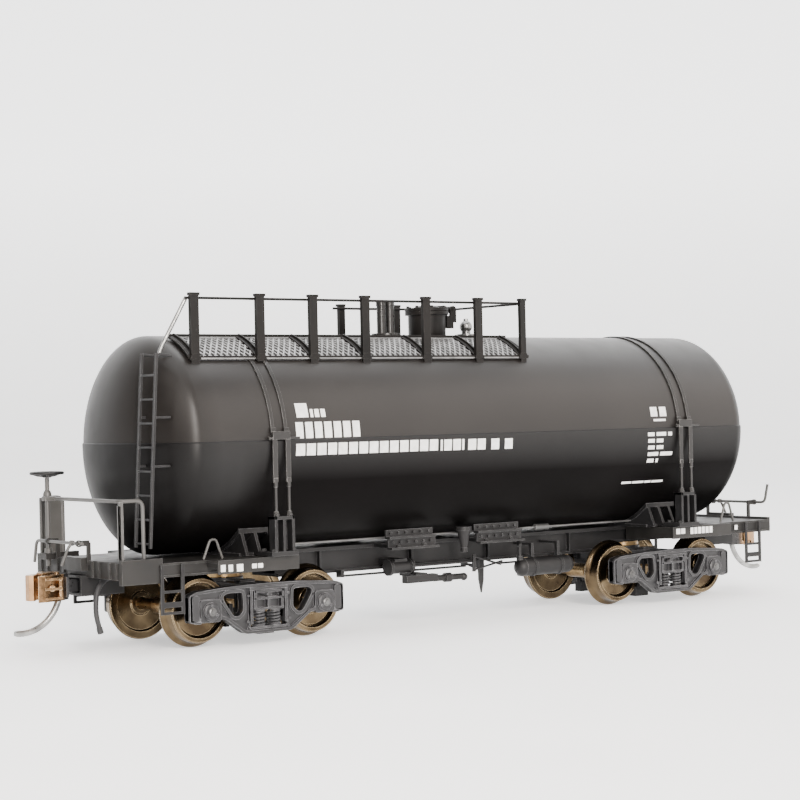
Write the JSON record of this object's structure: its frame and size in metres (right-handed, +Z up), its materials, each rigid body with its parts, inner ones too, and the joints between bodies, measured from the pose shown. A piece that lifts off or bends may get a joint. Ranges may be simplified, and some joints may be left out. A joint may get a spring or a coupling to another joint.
{
  "type": "model_tank_wagon",
  "caption": "Scale model railway tank wagon: horizontal cylindrical tank strapped to a low frame on two swivelling bogies, with walkway, lid, ladder, knuckle couplers and hand wheel",
  "frame": {"origin": "middle of the wagon at the level the wheel flanges reach down to: centre of the bounding box in plan, its lowest point in height", "axes": "+X along the wagon toward the plain end, -X toward the hand wheel and ladder end, +Y across the wagon, +Z up"},
  "size_m": [0.1534, 0.0348, 0.0521],
  "materials": {
    "tank_paint": "satin black paint over a drawn tank",
    "jacket_black": "nearly flat black lagging sheet",
    "ballast_steel": "plain sawn steel, sealed inside",
    "satin_black": "satin black fine moulding",
    "frame_plastic": "fine black moulding",
    "end_grey": "dark grey, slightly brown",
    "bronze_gold": "dull brass screw",
    "bogie_grey": "dark grey moulding like a casting",
    "bright_wire": "bright steel wire",
    "mesh_metal": "etched walkway mesh, dark",
    "hose_rubber": "matt black moulded hose",
    "coupler_black": "blackened metal",
    "knuckle_brass": "bare brass, lightly toned",
    "wheel_bronze": "toned nickel-brass wheel",
    "axle_gold": "bright turned axle"
  },
  "bodies": {
    "wagon": {"tank_barrel": "tank_paint", "tank_ends": "tank_paint", "heating_jacket": "jacket_black", "ballast_weight": "ballast_steel", "strap_bands": "satin_black", "strap_tie_rods": "satin_black", "strap_brackets": "frame_plastic", "saddles": "frame_plastic", "centre_sill": "frame_plastic", "end_platforms": "end_grey", "body_bolsters": "end_grey", "kingpins": "bronze_gold", "side_bearers": "frame_plastic", "outlet_pipes": "frame_plastic", "brake_cylinder": "frame_plastic", "brake_rods": "frame_plastic", "control_valve": "frame_plastic", "air_reservoir": "frame_plastic", "train_pipe": "bright_wire", "grab_hoops": "end_grey", "stirrup_steps": "frame_plastic", "end_railing": "end_grey", "end_ladder": "frame_plastic", "walkway_frame": "satin_black", "walkway_mesh": "mesh_metal", "walkway_posts": "satin_black", "handrails": "satin_black", "grab_rod": "bright_wire", "manway_neck": "satin_black", "manway_hinge": "satin_black", "top_fittings": "satin_black", "draft_boxes": "frame_plastic", "brake_hoses": "hose_rubber"},
    "bogie_brake_end": {"bogie_bolster_brake_end": "bogie_grey", "side_frames_brake_end": "bogie_grey", "springs_brake_end": "bogie_grey", "brake_gear_brake_end": "frame_plastic"},
    "bogie_plain_end": {"bogie_bolster_plain_end": "bogie_grey", "side_frames_plain_end": "bogie_grey", "springs_plain_end": "bogie_grey", "brake_gear_plain_end": "frame_plastic"},
    "wheelset_1": {"axle_1": "axle_gold", "wheels_1": "wheel_bronze"},
    "wheelset_2": {"axle_2": "axle_gold", "wheels_2": "wheel_bronze"},
    "wheelset_3": {"axle_3": "axle_gold", "wheels_3": "wheel_bronze"},
    "wheelset_4": {"axle_4": "axle_gold", "wheels_4": "wheel_bronze"},
    "coupler_brake_end_body": {"coupler_brake_end": "coupler_black", "trip_pin_brake_end": "bright_wire"},
    "knuckle_brake_end_body": {"knuckle_brake_end": "knuckle_brass"},
    "lever_brake_end": {"uncoupling_lever_brake_end": "end_grey"},
    "coupler_plain_end_body": {"coupler_plain_end": "coupler_black", "trip_pin_plain_end": "bright_wire"},
    "knuckle_plain_end_body": {"knuckle_plain_end": "knuckle_brass"},
    "lever_plain_end": {"uncoupling_lever_plain_end": "end_grey"},
    "handbrake": {"handbrake_wheel": "satin_black", "handbrake_shaft": "satin_black"},
    "manway": {"manway_lid": "satin_black"}
  },
  "joints": [
    {"name": "swivel_brake_end", "type": "hinge", "parent": "wagon", "child": "bogie_brake_end", "pos_m": [-0.0416, 0, 0.0089], "axis": [0, 0, 1], "range_deg": [-10, 10]},
    {"name": "swivel_plain_end", "type": "hinge", "parent": "wagon", "child": "bogie_plain_end", "pos_m": [0.0416, 0, 0.0089], "axis": [0, 0, 1], "range_deg": [-10, 10]},
    {"name": "roll_1", "type": "hinge", "parent": "bogie_brake_end", "child": "wheelset_1", "pos_m": [-0.05165, 0, 0.00555], "axis": [0, 1, 0], "continuous": true},
    {"name": "roll_2", "type": "hinge", "parent": "bogie_brake_end", "child": "wheelset_2", "pos_m": [-0.03155, 0, 0.00555], "axis": [0, 1, 0], "continuous": true},
    {"name": "roll_3", "type": "hinge", "parent": "bogie_plain_end", "child": "wheelset_3", "pos_m": [0.03155, 0, 0.00555], "axis": [0, 1, 0], "continuous": true},
    {"name": "roll_4", "type": "hinge", "parent": "bogie_plain_end", "child": "wheelset_4", "pos_m": [0.05165, 0, 0.00555], "axis": [0, 1, 0], "continuous": true},
    {"name": "coupler_swing_brake_end", "type": "hinge", "parent": "wagon", "child": "coupler_brake_end_body", "pos_m": [-0.0622, 0, 0.0098], "axis": [0, 0, 1], "range_deg": [-10, 10]},
    {"name": "knuckle_open_brake_end", "type": "hinge", "parent": "coupler_brake_end_body", "child": "knuckle_brake_end_body", "pos_m": [-0.0713, 0.00175, 0.0098], "axis": [0, 0, -1], "range_deg": [0, 40]},
    {"name": "lever_lift_brake_end", "type": "hinge", "parent": "wagon", "child": "lever_brake_end", "pos_m": [-0.0677, 0, 0.016], "axis": [0, 1, 0], "range_deg": [0, 60]},
    {"name": "coupler_swing_plain_end", "type": "hinge", "parent": "wagon", "child": "coupler_plain_end_body", "pos_m": [0.0622, 0, 0.0098], "axis": [0, 0, 1], "range_deg": [-10, 10]},
    {"name": "knuckle_open_plain_end", "type": "hinge", "parent": "coupler_plain_end_body", "child": "knuckle_plain_end_body", "pos_m": [0.0713, -0.00175, 0.0098], "axis": [0, 0, -1], "range_deg": [0, 40]},
    {"name": "lever_lift_plain_end", "type": "hinge", "parent": "wagon", "child": "lever_plain_end", "pos_m": [0.0677, 0, 0.016], "axis": [0, -1, 0], "range_deg": [0, 60]},
    {"name": "handbrake_turn", "type": "hinge", "parent": "wagon", "child": "handbrake", "pos_m": [-0.0669, 0.008, 0.022], "axis": [0, 0, 1], "continuous": true},
    {"name": "lid_swing", "type": "hinge", "parent": "wagon", "child": "manway", "pos_m": [0.00355, 0, 0.05075], "axis": [0, 1, 0], "range_deg": [0, 95]}
  ]
}
